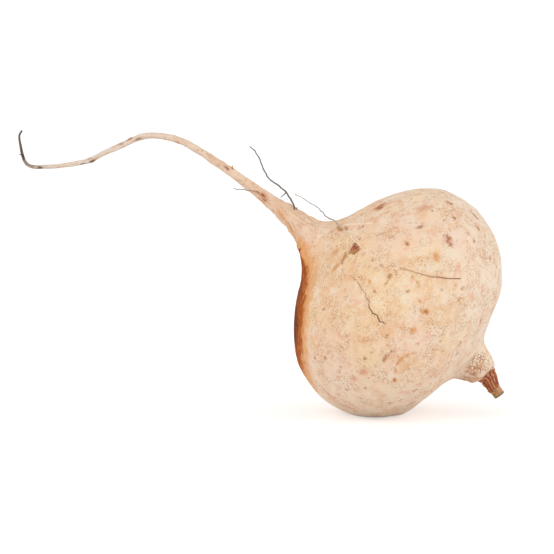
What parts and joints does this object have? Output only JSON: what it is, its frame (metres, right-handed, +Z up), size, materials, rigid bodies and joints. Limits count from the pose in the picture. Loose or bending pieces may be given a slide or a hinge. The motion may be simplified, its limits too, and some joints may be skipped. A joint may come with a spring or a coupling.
{
  "type": "jicama root",
  "caption": "Whole jicama root lying on its belly: round pale tuber with a brown vine stub at the crown, dried rootlets and a long thin taproot that curls up at its tip.",
  "frame": {"origin": "on the flat resting spot of the belly, right below the centre of mass", "axes": "+Z up, +X towards the crown and its stub, -X along the taproot, -Y the front"},
  "size_m": [0.2658, 0.1271, 0.1575],
  "materials": {
    "skin": "dry papery skin, satin, with fine brown flecks",
    "stub": "dry fibrous bark, matt",
    "dark_strand": "dried rootlet, matt",
    "pale_strand": "dried rootlet, matt"
  },
  "bodies": {
    "root": {"tuber": "skin", "stem_stub": "stub", "rootlet_neck": "dark_strand", "rootlet_tail": "pale_strand", "rootlet_shoulder": "pale_strand", "rootlet_front_straight": "pale_strand", "rootlet_front_bent": "dark_strand", "rootlet_scar": "pale_strand", "rootlet_back_upper": "pale_strand", "rootlet_back_lower": "pale_strand"}
  },
  "joints": []
}
